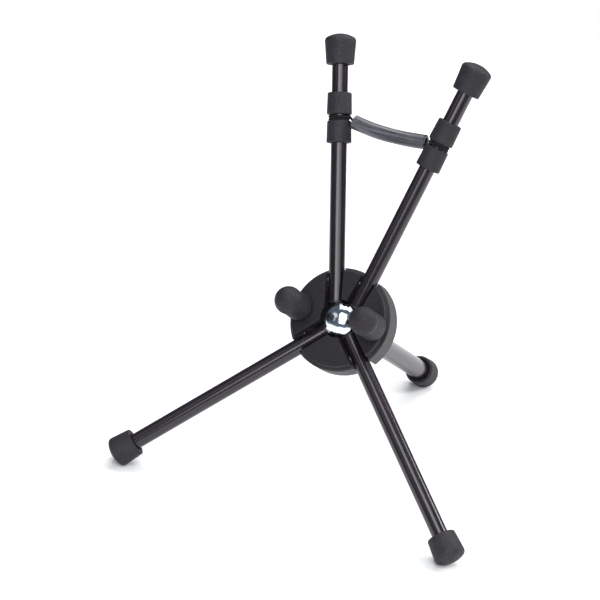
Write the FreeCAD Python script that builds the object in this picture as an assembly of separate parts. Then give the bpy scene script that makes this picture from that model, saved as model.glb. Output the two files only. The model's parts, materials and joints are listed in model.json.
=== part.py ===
import FreeCAD, Part
import math
import os

# Compact folding saxophone stand: a round hub with a fixed rear leg, two front legs and
# two support arms that fold back through slots in the hub, and two padded pegs on its face.
#
# Hub frame, used until the very end: the origin is the centre of the hub's front face,
# X points to the right when the stand is seen from the front, Y up across the face and
# Z straight out of the face.  Every arm and leg is made in a member frame whose Z runs
# along its axis from the hub's centre, whose X is its fold axis and whose Y is its front.

Vector = FreeCAD.Vector

# ---- driving dimensions, in millimetres and degrees ----

FACE_TILT = 32.2            # the hub's face looks up by this angle when the stand is open

HUB_RADIUS = 39.1
HUB_BACK = -22.5            # depth of the hub's back face
COVER_RADIUS = 36.4
COVER_THICKNESS = 4.9       # the covers stand on the body; the seam is at this depth
COVER_EDGE = 0.7            # rounding of the covers' front edges
BODY_EDGE = 1.2             # rounding of the body's back rim
WELL_RADIUS = 14.4          # round well in the middle of the face
WELL_FLOOR = -16.4
SLOT_HALF_WIDTH = 6.35
SLOT_THROUGH_FROM = 23.0    # beyond this distance from the centre a slot is open to the back
BOSS_RADIUS = 8.5           # carries the dome cap
BOSS_TOP = -8.0
SOCKET_RADIUS = 12.5        # collar that holds the rear leg
SOCKET_BACK = -36.5
SOCKET_FLOOR = -20.5
FIT = 0.02                  # radial gap of pieces pushed onto or into each other

AXIS_DEPTH = 10.8           # arms and legs aim at the hub's axis this far behind the face
TUBE_RADIUS = 6.0
TUBE_WALL = 1.0
REAR_TUBE_RADIUS = 8.0
REAR_TUBE_WALL = 1.2

ARM_AZIMUTH = 14.07         # from straight up, to either side
ARM_TILT = 10.56            # leans out of the face's plane, to the front
ARM_OFFSET = 5.32           # the arms start this far to either side of the hub's axis
ARM_MOUTH = 189.4           # distances along the axis from the hub's centre
ARM_END = 212.3
ARM_STUB = 13.8             # inner end of the tube
ARM_FLOOR = -14.7           # floor of an arm's slot under its stub

LEG_AZIMUTH = 136.14
LEG_TILT = 3.11
LEG_MOUTH = 181.0
LEG_END = 201.6
LEG_STUB = 13.9

REAR_CAP_LENGTH = 21.1

HINGE_AT = 29.5             # distance of every hinge pin from the hub's centre
PIN_RADIUS = 2.0
PIN_LENGTH = 20.6
PIN_PLAY = 0.05             # running gap between pin and tube
KEY_HALF_WIDTH = 1.95       # the covers' keys that hold the pins down
PLUG_LENGTH = 34.0
PLUG_FLANGE = 1.2
PLUG_FLANGE_RADIUS = 5.8

ARM_CAP_MOUTH_RADIUS = 10.4
ARM_CAP_RADIUS = 11.7
FOOT_MOUTH_RADIUS = 10.5
FOOT_RADIUS = 11.5
REAR_FOOT_MOUTH_RADIUS = 11.5
REAR_FOOT_RADIUS = 12.0
FOOT_FLAT = 0.35            # the feet are pressed flat by this much where they stand
CAP_CORNER = 3.4            # rounding between a cap's side and its crowned end
CAP_CORNER_TURN = 60.0      # the corner's arc turns this far before the crown takes over
CAP_WALL_AT_END = 6.0       # rubber between the tube's end and the cap's end
CAP_LIP = 0.8
CAP_RECESS = 1.5

SLEEVE_LENGTH = 16.4
SLEEVE_TOP_RADIUS = 9.0
SLEEVE_BOTTOM_RADIUS = 9.35
SLEEVE_CHAMFER = 1.0
LOOP_AT = {"arm_left": 149.6, "arm_right": 146.8}
LOOP_GAP = 4.6              # room between the two sleeves of an arm
LOOP_CORD_RADIUS = 1.1
LOOP_TURN_SPACING = 2.1
LEAD_RADIUS = 1.0           # the cord is stretched thinner where it leads into the hose

HOSE_RADIUS = 5.4
HOSE_BORE = 3.0
HOSE_CLEAR = 11.6           # from an arm's axis to the hose's end
HOSE_SAG = 2.5              # the route's middle point below the line between its ends
HOSE_SPLIT_GAP = 0.3
CORE_INSET = 1.0            # the elastic core stops this far from the hose's middle

DOME_RADIUS = 12.4
DOME_RIM = -3.0
DOME_HEIGHT = 5.6
DOME_SHEET = 1.0
DOME_SKIRT_BOTTOM = -10.5

BOLT_RADIUS = 3.0
BOLT_END = -46.0
BOLT_HEAD_RADIUS = 5.0
BOLT_HEAD_HEIGHT = 3.2
BOLT_SOCKET_RADIUS = 2.5
BOLT_SEAT = -12.0
BOLT_CLEARANCE = 0.2
WASHER_THICKNESS = 1.0
REAR_PLUG_END = -52.0

PEG_X = 30.2
PEG_TIP = 38.0
PEG_PAD_RADIUS = 10.5
PEG_PAD_BASE = 6.0          # the pads stand off the hub's face on the studs' collars
PEG_BALL_TURN = 20.0        # the ball runs on this far behind its middle, then a skirt follows
PEG_STUD_RADIUS = 4.0
PEG_STUD_TOP = 28.0
PEG_FLANGE_RADIUS = 8.0
PEG_STUD_BOTTOM = -16.0

SCREW_RADIUS = 1.5
SCREW_HEAD_RADIUS = 2.8
SCREW_HEAD_HEIGHT = 2.0
SCREW_COUNTERBORE = 3.0
SCREW_TIP = -1.8            # depth of the screws' ends inside the covers
SCREW_PLACES = [(0.0, 20.5), (20.0, 12.0), (20.0, -6.0), (-20.0, 12.0), (-20.0, -6.0),
                (7.0, -22.0), (-7.0, -22.0)]

MEMBERS = {
    "arm_left": {"azimuth": -ARM_AZIMUTH, "tilt": ARM_TILT, "offset": -ARM_OFFSET,
                 "stub": ARM_STUB, "mouth": ARM_MOUTH, "end": ARM_END, "floor": ARM_FLOOR},
    "arm_right": {"azimuth": ARM_AZIMUTH, "tilt": ARM_TILT, "offset": ARM_OFFSET,
                  "stub": ARM_STUB, "mouth": ARM_MOUTH, "end": ARM_END, "floor": ARM_FLOOR},
    "leg_left": {"azimuth": -LEG_AZIMUTH, "tilt": LEG_TILT, "offset": 0.0,
                 "stub": LEG_STUB, "mouth": LEG_MOUTH, "end": LEG_END, "floor": WELL_FLOOR},
    "leg_right": {"azimuth": LEG_AZIMUTH, "tilt": LEG_TILT, "offset": 0.0,
                  "stub": LEG_STUB, "mouth": LEG_MOUTH, "end": LEG_END, "floor": WELL_FLOOR},
}

SEAM = -COVER_THICKNESS
BEYOND = 60.0               # longer than any slot, used for cutting right through the hub


# ---- geometry helpers ----

def sine(degrees):
    return math.sin(math.radians(degrees))


def cosine(degrees):
    return math.cos(math.radians(degrees))


def cylinder(radius, low, high, x=0.0, y=0.0):
    return Part.makeCylinder(radius, high - low, Vector(x, y, low))


def rod(start, end, radius):
    """A round bar between two points."""
    return Part.makeCylinder(radius, (end - start).Length, start, end - start)


def turned(start, steps):
    """Revolve a closed outline of (radius, height) points about Z.

    A step is one point for a straight line, or two points for an arc through the first.
    """
    def point(pair):
        return Vector(pair[0], 0, pair[1])

    edges = []
    here = start
    for step in steps + [(start,)]:
        if step[-1] == here:
            continue
        if len(step) == 2:
            edges.append(Part.Arc(point(here), point(step[0]), point(step[1])).toShape())
        else:
            edges.append(Part.LineSegment(point(here), point(step[0])).toShape())
        here = step[-1]
    face = Part.Face(Part.Wire(edges))
    return face.revolve(Vector(0, 0, 0), Vector(0, 0, 1), 360)


def rounded_front_edges(shape, radius):
    """Round every edge that lies in the face's plane."""
    edges = [edge for edge in shape.Edges
             if all(abs(vertex.Point.z) < 1e-6 for vertex in edge.Vertexes)]
    return shape.makeFillet(radius, edges)


# ---- member geometry ----

def along(member):
    azimuth, tilt = member["azimuth"], member["tilt"]
    return Vector(sine(azimuth) * cosine(tilt), cosine(azimuth) * cosine(tilt), sine(tilt))


def fold_axis(member):
    """Turning about this axis by the right-hand rule folds the member to the back."""
    return Vector(-cosine(member["azimuth"]), sine(member["azimuth"]), 0)


def point_on(member, distance):
    return Vector(member["offset"], 0, -AXIS_DEPTH) + along(member) * distance


def in_member_frame(member, shape):
    x_axis = fold_axis(member)
    z_axis = along(member)
    y_axis = z_axis.cross(x_axis)
    base = point_on(member, 0)
    matrix = FreeCAD.Matrix(x_axis.x, y_axis.x, z_axis.x, base.x,
                            x_axis.y, y_axis.y, z_axis.y, base.y,
                            x_axis.z, y_axis.z, z_axis.z, base.z,
                            0, 0, 0, 1)
    placed = shape.copy()
    placed.Placement = FreeCAD.Placement(matrix).multiply(placed.Placement)
    return placed


def slot_block(member, inner, low, high, half_width=SLOT_HALF_WIDTH):
    """A block that follows a member across the hub, from a distance outwards."""
    block = Part.makeBox(2 * half_width, BEYOND, high - low, Vector(-half_width, inner, low))
    block.rotate(Vector(0, 0, 0), Vector(0, 0, 1), -member["azimuth"])
    block.translate(Vector(member["offset"], 0, 0))
    return block


def hinge_pin(member, radius=PIN_RADIUS):
    reach = fold_axis(member) * (PIN_LENGTH / 2)
    centre = point_on(member, HINGE_AT)
    return rod(centre - reach, centre + reach, radius)


def pin_channel(member, half_width, bottom_to_pin, top):
    """A block over the whole pin, from the pin's axis up to a height."""
    centre = point_on(member, HINGE_AT)
    low = centre.z + bottom_to_pin
    block = Part.makeBox(PIN_LENGTH, 2 * half_width, top - low,
                         Vector(-PIN_LENGTH / 2, -half_width, low))
    block.rotate(Vector(0, 0, 0), Vector(0, 0, 1), -member["azimuth"])
    block.translate(Vector(centre.x, centre.y, 0))
    return block


# ---- hub ----

def hub_body():
    body = turned((0, HUB_BACK), [
        (((HUB_RADIUS - BODY_EDGE), HUB_BACK),),
        ((HUB_RADIUS - BODY_EDGE * (1 - sine(45)), HUB_BACK + BODY_EDGE * (1 - cosine(45))),
         (HUB_RADIUS, HUB_BACK + BODY_EDGE)),
        ((HUB_RADIUS, SEAM - BODY_EDGE / 3),),
        ((HUB_RADIUS - BODY_EDGE / 3, SEAM),),
        ((0, SEAM),)])
    body = body.fuse(cylinder(SOCKET_RADIUS, SOCKET_BACK, HUB_BACK))
    body = body.cut(cylinder(WELL_RADIUS, WELL_FLOOR, BEYOND))
    for member in MEMBERS.values():
        body = body.cut(slot_block(member, 0, member["floor"], BEYOND))
        body = body.cut(slot_block(member, SLOT_THROUGH_FROM, -BEYOND, BEYOND))
        body = body.cut(hinge_pin(member, PIN_RADIUS + FIT))
        body = body.cut(pin_channel(member, PIN_RADIUS + FIT, 0, BEYOND))
    body = body.fuse(cylinder(BOSS_RADIUS, WELL_FLOOR - 1, BOSS_TOP))
    body = body.cut(cylinder(REAR_TUBE_RADIUS + FIT, SOCKET_BACK, SOCKET_FLOOR))
    body = body.cut(cylinder(BOLT_RADIUS + BOLT_CLEARANCE, SOCKET_FLOOR, BOLT_SEAT))
    body = body.cut(cylinder(BOLT_HEAD_RADIUS + BOLT_CLEARANCE, BOLT_SEAT, BOSS_TOP))
    for side in (-1, 1):
        body = body.cut(cylinder(PEG_STUD_RADIUS + FIT, PEG_STUD_BOTTOM, BEYOND, side * PEG_X))
    for x, y in SCREW_PLACES:
        body = body.cut(cylinder(SCREW_RADIUS + BOLT_CLEARANCE, HUB_BACK, SEAM, x, y))
        body = body.cut(cylinder(SCREW_HEAD_RADIUS + BOLT_CLEARANCE, HUB_BACK,
                                 HUB_BACK + SCREW_COUNTERBORE, x, y))
    return body.removeSplitter()


def cover_sectors():
    """The four pieces of the front cover, named by where they sit."""
    disc = cylinder(COVER_RADIUS, SEAM, 0).cut(cylinder(WELL_RADIUS, SEAM, 0))
    for member in MEMBERS.values():
        disc = disc.cut(slot_block(member, 0, SEAM, 0))
    named = {}
    for solid in disc.Solids:
        centre = solid.CenterOfMass
        if abs(centre.x) > abs(centre.y):
            name = "cover_right" if centre.x > 0 else "cover_left"
        else:
            name = "cover_top" if centre.y > 0 else "cover_bottom"
        named[name] = finished_cover(solid)
    return named


def finished_cover(sector):
    """Round the front edges, add the keys that hold the pins, and drill it."""
    footprint = sector.copy()
    footprint.translate(Vector(0, 0, -COVER_THICKNESS))
    cover = rounded_front_edges(sector, COVER_EDGE)
    for member in MEMBERS.values():
        key = pin_channel(member, KEY_HALF_WIDTH, 0, SEAM).common(footprint)
        if key.Volume > 0:
            cover = cover.fuse(key)
        cover = cover.cut(hinge_pin(member, PIN_RADIUS + FIT))
    for x, y in SCREW_PLACES:
        cover = cover.cut(cylinder(SCREW_RADIUS + FIT, SEAM, SCREW_TIP, x, y))
    for side in (-1, 1):
        cover = cover.cut(cylinder(PEG_STUD_RADIUS + FIT, SEAM, BEYOND, side * PEG_X))
    return cover.removeSplitter()


def cover_screws():
    """Seven pan-head screws, put in from the back."""
    screws = []
    seat = HUB_BACK + SCREW_COUNTERBORE
    for x, y in SCREW_PLACES:
        screw = cylinder(SCREW_RADIUS, seat, SCREW_TIP, x, y)
        screw = screw.fuse(cylinder(SCREW_HEAD_RADIUS, seat - SCREW_HEAD_HEIGHT, seat, x, y))
        recess = cylinder(SCREW_RADIUS / 2, seat - SCREW_HEAD_HEIGHT,
                          seat - SCREW_HEAD_HEIGHT / 2, x, y)
        screws.append(screw.cut(recess))
    return Part.makeCompound(screws)


def dome_cap():
    """Bright domed cap with a skirt that grips the boss."""
    sphere = (DOME_RADIUS ** 2 + DOME_HEIGHT ** 2) / (2 * DOME_HEIGHT)
    half_way = math.degrees(math.asin(DOME_RADIUS / sphere)) / 2
    crown = DOME_RIM + DOME_HEIGHT
    inner = DOME_RADIUS - DOME_SHEET
    skirt = BOSS_RADIUS + FIT
    return turned((0, crown), [
        ((sphere * sine(half_way), crown - sphere * (1 - cosine(half_way))),
         (DOME_RADIUS, DOME_RIM)),
        ((inner, DOME_RIM),),
        ((inner, DOME_RIM + DOME_SHEET / 2),),
        ((skirt + DOME_SHEET, DOME_RIM + DOME_SHEET / 2),),
        ((skirt + DOME_SHEET, DOME_SKIRT_BOTTOM),),
        ((skirt, DOME_SKIRT_BOTTOM),),
        ((skirt, BOSS_TOP + DOME_SHEET / 2),),
        ((0, BOSS_TOP + DOME_SHEET / 2),)])


def bolt_washer():
    return cylinder(BOLT_HEAD_RADIUS, BOLT_SEAT, BOLT_SEAT + WASHER_THICKNESS).cut(
        cylinder(BOLT_RADIUS + FIT, BOLT_SEAT, BOLT_SEAT + WASHER_THICKNESS))


def center_bolt():
    """Socket-head bolt that pulls the rear leg into the hub."""
    seat = BOLT_SEAT + WASHER_THICKNESS
    top = seat + BOLT_HEAD_HEIGHT
    bolt = cylinder(BOLT_RADIUS, BOLT_END, seat).fuse(
        cylinder(BOLT_HEAD_RADIUS - FIT, seat, top))
    socket = Part.makePolygon([Vector(BOLT_SOCKET_RADIUS * cosine(60 * i),
                                      BOLT_SOCKET_RADIUS * sine(60 * i), seat + 1)
                               for i in range(7)])
    return bolt.cut(Part.Face(socket).extrude(Vector(0, 0, BOLT_HEAD_HEIGHT)))


# ---- pegs ----

def peg_stud(x):
    stud = cylinder(PEG_STUD_RADIUS, PEG_STUD_BOTTOM, PEG_STUD_TOP, x)
    return stud.fuse(cylinder(PEG_FLANGE_RADIUS, 0, PEG_PAD_BASE, x))


def peg_pad(x):
    """Rubber cap: a ball on a skirt that widens towards the hub."""
    ball_centre = PEG_TIP - PEG_PAD_RADIUS
    half_way = (90 - PEG_BALL_TURN) / 2
    bore = PEG_STUD_RADIUS + FIT
    lip = CAP_LIP * (1 - cosine(45))
    pad = turned((0, PEG_TIP), [
        ((PEG_PAD_RADIUS * cosine(half_way), ball_centre + PEG_PAD_RADIUS * sine(half_way)),
         (PEG_PAD_RADIUS * cosine(PEG_BALL_TURN),
          ball_centre - PEG_PAD_RADIUS * sine(PEG_BALL_TURN))),
        ((PEG_PAD_RADIUS, PEG_PAD_BASE + CAP_LIP),),
        ((PEG_PAD_RADIUS - lip, PEG_PAD_BASE + lip), (PEG_PAD_RADIUS - CAP_LIP, PEG_PAD_BASE)),
        ((bore, PEG_PAD_BASE),),
        ((bore, PEG_STUD_TOP + FIT),),
        ((0, PEG_STUD_TOP + FIT),)])
    pad.translate(Vector(x, 0, 0))
    return pad


# ---- rubber caps and sleeves ----

def crown_height(radius):
    """Height of a cap's crowned end, whose sphere meets the corner's arc smoothly."""
    rim = radius - CAP_CORNER * (1 - cosine(CAP_CORNER_TURN))
    slope = 90 - CAP_CORNER_TURN
    return rim / sine(slope) * (1 - cosine(slope))


def shoulder_at(radius, end):
    """Where a cap's side ends and its corner begins."""
    return end - crown_height(radius) - CAP_CORNER * sine(CAP_CORNER_TURN)


def push_on_cap(bore, mouth, end, mouth_radius, radius):
    """Rubber cap: slightly conical, with a rounded lip, a rounded corner and a crowned end."""
    cavity = end - CAP_WALL_AT_END
    lip = CAP_LIP * (1 - cosine(45))
    shoulder = shoulder_at(radius, end)
    half_turn = CAP_CORNER_TURN / 2
    rim = (radius - CAP_CORNER * (1 - cosine(CAP_CORNER_TURN)),
           shoulder + CAP_CORNER * sine(CAP_CORNER_TURN))
    slope = 90 - CAP_CORNER_TURN
    sphere = rim[0] / sine(slope)
    return turned((0, cavity), [
        ((bore, cavity),),
        ((bore, mouth + CAP_RECESS),),
        ((bore + CAP_RECESS, mouth),),
        ((mouth_radius - CAP_LIP, mouth),),
        ((mouth_radius - lip, mouth + lip), (mouth_radius, mouth + CAP_LIP)),
        ((radius, shoulder),),
        ((radius - CAP_CORNER * (1 - cosine(half_turn)), shoulder + CAP_CORNER * sine(half_turn)),
         rim),
        ((sphere * sine(slope / 2), end - sphere * (1 - cosine(slope / 2))), (0, end))])


def arm_cap(member):
    return in_member_frame(member, push_on_cap(
        TUBE_RADIUS + FIT, ARM_MOUTH, ARM_END, ARM_CAP_MOUTH_RADIUS, ARM_CAP_RADIUS))


def sleeve(member, low):
    high = low + SLEEVE_LENGTH
    bore = TUBE_RADIUS + FIT
    return in_member_frame(member, turned((bore, low), [
        ((SLEEVE_BOTTOM_RADIUS - SLEEVE_CHAMFER, low),),
        ((SLEEVE_BOTTOM_RADIUS, low + SLEEVE_CHAMFER),),
        ((SLEEVE_TOP_RADIUS, high - SLEEVE_CHAMFER),),
        ((SLEEVE_TOP_RADIUS - SLEEVE_CHAMFER, high),),
        ((bore, high),)]))


# ---- arms and legs ----

def tube(member):
    start = member["stub"]
    stop = member["end"] - CAP_WALL_AT_END - FIT
    pipe = cylinder(TUBE_RADIUS, start, stop).cut(
        cylinder(TUBE_RADIUS - TUBE_WALL, start, stop))
    return in_member_frame(member, pipe).cut(hinge_pin(member, PIN_RADIUS + PIN_PLAY))


def hinge_plug(member):
    """Solid plug in the tube's inner end; the hinge pin runs through it."""
    start = member["stub"]
    plug = cylinder(TUBE_RADIUS - TUBE_WALL - FIT, start - PLUG_FLANGE, start + PLUG_LENGTH)
    flange = cylinder(PLUG_FLANGE_RADIUS, start - PLUG_FLANGE, start)
    plug = in_member_frame(member, plug.fuse(flange).removeSplitter())
    return plug.cut(hinge_pin(member, PIN_RADIUS + PIN_PLAY))


def rear_tube(end):
    return cylinder(REAR_TUBE_RADIUS, end, SOCKET_FLOOR).cut(
        cylinder(REAR_TUBE_RADIUS - REAR_TUBE_WALL, end, SOCKET_FLOOR))


def rear_plug():
    """Threaded plug pressed into the rear tube for the centre bolt."""
    return cylinder(REAR_TUBE_RADIUS - REAR_TUBE_WALL - FIT, REAR_PLUG_END, SOCKET_FLOOR).cut(
        cylinder(BOLT_RADIUS + FIT, REAR_PLUG_END, SOCKET_FLOOR))


# ---- hose and elastic cord ----

def unit(vector):
    return vector * (1.0 / vector.Length)


def down():
    """Straight down, written in the hub frame."""
    return Vector(0, -cosine(FACE_TILT), -sine(FACE_TILT))


def hose_route():
    """The hose's left end, its lowest point and its right end."""
    left = point_on(MEMBERS["arm_left"], LOOP_AT["arm_left"])
    right = point_on(MEMBERS["arm_right"], LOOP_AT["arm_right"])
    across = unit(right - left)
    middle = (left + right) * 0.5 + down() * HOSE_SAG
    return [left + across * HOSE_CLEAR, middle, right - across * HOSE_CLEAR]


def bent_bar(route, radius):
    """A round bar along two runs joined by the largest arc that suits them."""
    start, corner, end = route
    back, ahead = unit(start - corner), unit(end - corner)
    half_turn = (math.pi - back.getAngle(ahead)) / 2
    trim = 0.45 * min((start - corner).Length, (end - corner).Length)
    bend_radius = trim / math.tan(half_turn)
    first, last = corner + back * trim, corner + ahead * trim
    bisector = unit(back + ahead)
    centre = corner + bisector * (bend_radius / math.cos(half_turn))
    middle = centre - bisector * bend_radius
    path = Part.Wire([Part.LineSegment(start, first).toShape(),
                      Part.Arc(first, middle, last).toShape(),
                      Part.LineSegment(last, end).toShape()])
    section = Part.Wire(Part.makeCircle(radius, start, first - start))
    bar = path.makePipeShell([section], True, True)
    print("bend radius %.1f, bar volume over section times length %.4f"
          % (bend_radius, bar.Volume / (math.pi * radius ** 2 * path.Length)))
    return bar


def half_space(plane_point, normal):
    """A large block on the side of a plane that the normal points to."""
    block = Part.makeBox(BEYOND, BEYOND, BEYOND, Vector(-BEYOND / 2, -BEYOND / 2, 0))
    block.Placement = FreeCAD.Placement(plane_point, FreeCAD.Rotation(Vector(0, 0, 1), normal))
    return block


def hose_halves():
    """The rubber hose and the elastic core in it, each cut where the hose bends."""
    route = hose_route()
    across = unit(route[2] - route[0])
    outside = bent_bar(route, HOSE_RADIUS)
    bore = bent_bar(route, HOSE_BORE)
    core = bent_bar(route, LOOP_CORD_RADIUS)
    hose = outside.cut(bore)
    halves = {}
    for name, side in (("left", -1), ("right", 1)):
        outward = across * side
        halves["hose_" + name] = hose.common(
            half_space(route[1] + outward * (HOSE_SPLIT_GAP / 2), outward))
        halves["core_" + name] = core.common(half_space(route[1] + outward * CORE_INSET, outward))
    return halves


def loop(member, distance):
    """Two turns of elastic cord round an arm, between its sleeves."""
    ring_radius = TUBE_RADIUS + PIN_PLAY + LOOP_CORD_RADIUS
    turns = [Part.makeTorus(ring_radius, LOOP_CORD_RADIUS,
                            Vector(0, 0, distance + side * LOOP_TURN_SPACING / 2))
             for side in (-1, 1)]
    return in_member_frame(member, turns[0].fuse(turns[1]))


def elastic_cord_left(core):
    """The left loop with the cord that leads from its upper turn into the hose."""
    route = hose_route()
    member = MEMBERS["arm_left"]
    axis = along(member)
    across = unit(route[2] - route[0])
    sideways = unit(across - axis * across.dot(axis))
    upper_turn = point_on(member, LOOP_AT["arm_left"] + LOOP_TURN_SPACING / 2)
    lead_start = upper_turn + sideways * (TUBE_RADIUS + PIN_PLAY + LOOP_CORD_RADIUS)
    lead = rod(lead_start, route[0] + unit(route[1] - route[0]) * CORE_INSET, LEAD_RADIUS)
    return loop(member, LOOP_AT["arm_left"]).fuse(lead).fuse(core)


# ---- standing up ----

def foot_drop(member, end, radius):
    """How far a foot's lowest point lies below the hub's face centre, with the face tilted."""
    corner_centre = to_upright(point_on(member, shoulder_at(radius, end)))
    slope = to_upright(along(member)).z
    return -(corner_centre.z - (radius - CAP_CORNER) * math.sqrt(1 - slope ** 2) - CAP_CORNER)


def to_upright(vector):
    """Turn a hub-frame vector so that Z is up and the hub's face looks towards -Y."""
    return FreeCAD.Rotation(Vector(1, 0, 0), 90 - FACE_TILT).multVec(vector)


def rear_leg_end(hub_height):
    """Depth of the rear foot's end that lets it stand at the same level as the legs."""
    corner_drop = (REAR_FOOT_RADIUS - CAP_CORNER) * cosine(FACE_TILT) + CAP_CORNER
    shoulder = (hub_height + FOOT_FLAT - corner_drop) / sine(FACE_TILT)
    return -(shoulder - shoulder_at(REAR_FOOT_RADIUS, 0))


def all_pieces():
    """Every node in the hub frame."""
    pieces = {"hub_body": hub_body()}
    pieces.update(cover_sectors())
    pieces["cover_screws"] = cover_screws()
    pieces["dome_cap"] = dome_cap()
    pieces["bolt_washer"] = bolt_washer()
    pieces["center_bolt"] = center_bolt()
    for name, side in (("left", -1), ("right", 1)):
        pieces["peg_stud_" + name] = peg_stud(side * PEG_X)
        pieces["peg_pad_" + name] = peg_pad(side * PEG_X)

    rear_end = rear_leg_end(HUB_HEIGHT)
    pieces["rear_leg_tube"] = rear_tube(rear_end + CAP_WALL_AT_END + FIT)
    pieces["rear_leg_plug"] = rear_plug()
    rear_foot = push_on_cap(REAR_TUBE_RADIUS + FIT, -rear_end - REAR_CAP_LENGTH, -rear_end,
                            REAR_FOOT_MOUTH_RADIUS, REAR_FOOT_RADIUS)
    rear_foot.rotate(Vector(0, 0, 0), Vector(1, 0, 0), 180)
    pieces["rear_foot"] = rear_foot

    for name, member in MEMBERS.items():
        pieces[name + "_pin"] = hinge_pin(member)
        pieces[name + "_tube"] = tube(member)
        pieces[name + "_hinge_plug"] = hinge_plug(member)
        if name.startswith("leg"):
            pieces[name + "_foot"] = in_member_frame(member, push_on_cap(
                TUBE_RADIUS + FIT, LEG_MOUTH, LEG_END, FOOT_MOUTH_RADIUS, FOOT_RADIUS))
        else:
            pieces[name + "_cap"] = arm_cap(member)
            middle = LOOP_AT[name]
            pieces[name + "_upper_sleeve"] = sleeve(member, middle + LOOP_GAP / 2)
            pieces[name + "_lower_sleeve"] = sleeve(
                member, middle - LOOP_GAP / 2 - SLEEVE_LENGTH)

    halves = hose_halves()
    pieces["hose_left"] = halves["hose_left"]
    pieces["hose_right"] = halves["hose_right"]
    pieces["elastic_cord_left"] = elastic_cord_left(halves["core_left"])
    pieces["elastic_cord_right"] = halves["core_right"]
    pieces["elastic_loop_right"] = loop(MEMBERS["arm_right"], LOOP_AT["arm_right"])
    return pieces


def stand_up(shape, shift_back=0.0):
    """Tilt a hub-frame shape into the standing frame, with the floor at Z = 0."""
    placed = shape.copy()
    placed.rotate(Vector(0, 0, 0), Vector(1, 0, 0), 90 - FACE_TILT)
    placed.translate(Vector(0, shift_back, HUB_HEIGHT))
    return placed


def flat_underneath(shape):
    """Cut off what would reach below the floor."""
    floor = Part.makeBox(1000, 1000, BEYOND, Vector(-500, -500, -BEYOND))
    return shape.cut(floor)


HUB_HEIGHT = foot_drop(MEMBERS["leg_left"], LEG_END, FOOT_RADIUS) - FOOT_FLAT

standing = {name: stand_up(shape) for name, shape in all_pieces().items()}
rear_most = max(shape.BoundBox.YMax for shape in standing.values())
front_most = min(shape.BoundBox.YMin for shape in standing.values())
HUB_BEHIND_ORIGIN = -(rear_most + front_most) / 2

os.makedirs("parts", exist_ok=True)
for name, shape in standing.items():
    shape.translate(Vector(0, HUB_BEHIND_ORIGIN, 0))
    if name.endswith("foot"):
        shape = flat_underneath(shape)
    shape.exportStep("parts/" + name + ".step")
    print("%-26s solids %d, volume %9.1f, valid %s"
          % (name, len(shape.Solids), shape.Volume, shape.isValid()))
print("hub height %.2f, hub behind origin %.2f" % (HUB_HEIGHT, HUB_BEHIND_ORIGIN))
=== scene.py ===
import json
import math

import bmesh
import bpy
from mathutils import Matrix, Vector


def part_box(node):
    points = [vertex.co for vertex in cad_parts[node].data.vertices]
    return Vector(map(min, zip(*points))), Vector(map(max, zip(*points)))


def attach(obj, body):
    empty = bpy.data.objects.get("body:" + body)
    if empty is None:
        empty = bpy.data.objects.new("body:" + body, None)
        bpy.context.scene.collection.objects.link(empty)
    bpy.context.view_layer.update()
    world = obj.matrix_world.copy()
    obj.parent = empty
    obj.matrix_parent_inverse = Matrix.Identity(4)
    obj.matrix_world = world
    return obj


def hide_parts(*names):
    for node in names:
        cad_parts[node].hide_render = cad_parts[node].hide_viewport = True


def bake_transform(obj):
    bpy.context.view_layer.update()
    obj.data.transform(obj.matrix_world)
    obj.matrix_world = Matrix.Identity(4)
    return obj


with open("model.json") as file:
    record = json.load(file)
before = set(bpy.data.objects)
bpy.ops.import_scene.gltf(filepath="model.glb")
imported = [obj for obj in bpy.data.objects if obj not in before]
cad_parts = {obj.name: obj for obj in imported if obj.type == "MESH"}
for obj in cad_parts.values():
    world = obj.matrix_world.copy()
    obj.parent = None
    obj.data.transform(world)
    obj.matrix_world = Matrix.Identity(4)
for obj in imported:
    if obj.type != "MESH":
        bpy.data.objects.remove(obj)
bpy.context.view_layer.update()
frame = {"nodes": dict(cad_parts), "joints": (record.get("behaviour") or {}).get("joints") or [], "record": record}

# Looks for the folding saxophone stand.  Every turned piece is made in the frame of its own
# member, with Z along the member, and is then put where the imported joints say.

# ---- dimensions, in metres and degrees; the CAD model's own, unless a comment says otherwise ----

MM = 0.001
FACE_TILT = 32.2
AXIS_DEPTH = 10.8 * MM
HINGE_AT = 29.5 * MM
TUBE_RADIUS = 6.0 * MM
TUBE_WALL = 1.0 * MM
REAR_TUBE_RADIUS = 8.0 * MM
REAR_TUBE_WALL = 1.2 * MM
SOCKET_FLOOR = -20.5 * MM
PIN_RADIUS = 2.05 * MM

ARM = {"azimuth": 14.07, "tilt": 10.56, "offset": 5.32 * MM, "stub": 13.8 * MM,
       "mouth": 189.4 * MM, "end": 212.3 * MM, "mouth_radius": 10.4 * MM, "radius": 11.7 * MM}
LEG = {"azimuth": 136.14, "tilt": 3.11, "offset": 0.0, "stub": 13.9 * MM,
       "mouth": 181.0 * MM, "end": 201.6 * MM, "mouth_radius": 10.5 * MM, "radius": 11.5 * MM}
SIDES = {"left": -1, "right": 1}

REAR_FOOT = {"length": 21.1 * MM, "mouth_radius": 11.5 * MM, "radius": 12.0 * MM}
CAP_CORNER = 3.4 * MM
CAP_CORNER_TURN = 60.0
CAP_WALL_AT_END = 6.0 * MM
CAP_LIP = 0.8 * MM
CAP_RECESS = 1.5 * MM
FIT = 0.02 * MM

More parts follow.
